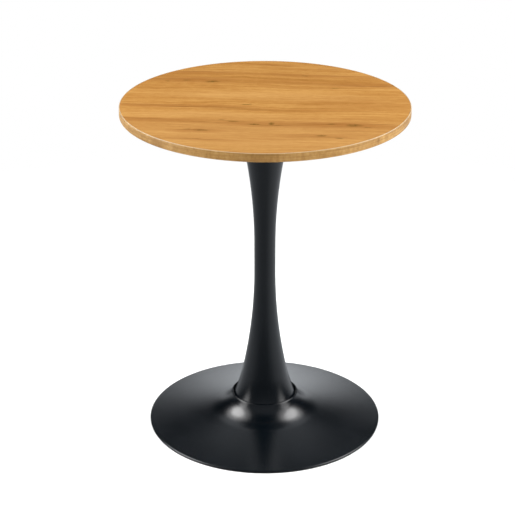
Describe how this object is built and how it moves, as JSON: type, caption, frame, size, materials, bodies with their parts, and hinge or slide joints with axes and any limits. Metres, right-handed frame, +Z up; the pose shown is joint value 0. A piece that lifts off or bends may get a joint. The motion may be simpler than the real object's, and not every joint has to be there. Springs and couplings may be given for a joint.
{
  "type": "round pedestal table",
  "caption": "Round wood-effect tabletop on a black steel trumpet column that sits in the raised collar of a dished round foot.",
  "frame": {"origin": "on the floor, at the centre of the foot", "axes": "+Z up along the column's axis, X along the tabletop's grain, -Y towards the front"},
  "size_m": [0.6, 0.6, 0.727],
  "materials": {
    "top_laminate": "satin honey-coloured wood-effect laminate, grain along X",
    "edge_band": "satin wood-effect edging with one butt seam",
    "core_board": "raw fibreboard",
    "underside_backer": "matt black backing laminate",
    "column_powder_coat": "satin fine-texture black powder coat",
    "base_powder_coat": "satin fine-texture black powder coat",
    "plate_powder_coat": "satin black powder coat",
    "zinc_plate": "zinc-plated sheet",
    "zinc_fastener": "bright zinc plating",
    "ring_rubber": "matt black rubber"
  },
  "bodies": {
    "root": {"base_bolt_1": "zinc_fastener", "base_bolt_2": "zinc_fastener", "base_bolt_3": "zinc_fastener", "base_bolt_4": "zinc_fastener", "base_shell": "base_powder_coat", "column_joint_plate": "zinc_plate", "column_shell": "column_powder_coat", "edge_band": "edge_band", "flat_washer_1": "zinc_fastener", "flat_washer_2": "zinc_fastener", "flat_washer_3": "zinc_fastener", "flat_washer_4": "zinc_fastener", "floor_ring": "ring_rubber", "hub_plate": "zinc_plate", "spring_washer_1": "zinc_fastener", "spring_washer_2": "zinc_fastener", "spring_washer_3": "zinc_fastener", "spring_washer_4": "zinc_fastener", "tabletop_core": "core_board", "tabletop_laminate": "top_laminate", "top_plate": "plate_powder_coat", "top_screw_1": "zinc_fastener", "top_screw_2": "zinc_fastener", "top_screw_3": "zinc_fastener", "top_screw_4": "zinc_fastener", "top_screw_5": "zinc_fastener", "top_screw_6": "zinc_fastener", "underside_laminate": "underside_backer", "weld_nut_1": "zinc_fastener", "weld_nut_2": "zinc_fastener", "weld_nut_3": "zinc_fastener", "weld_nut_4": "zinc_fastener"}
  },
  "joints": []
}
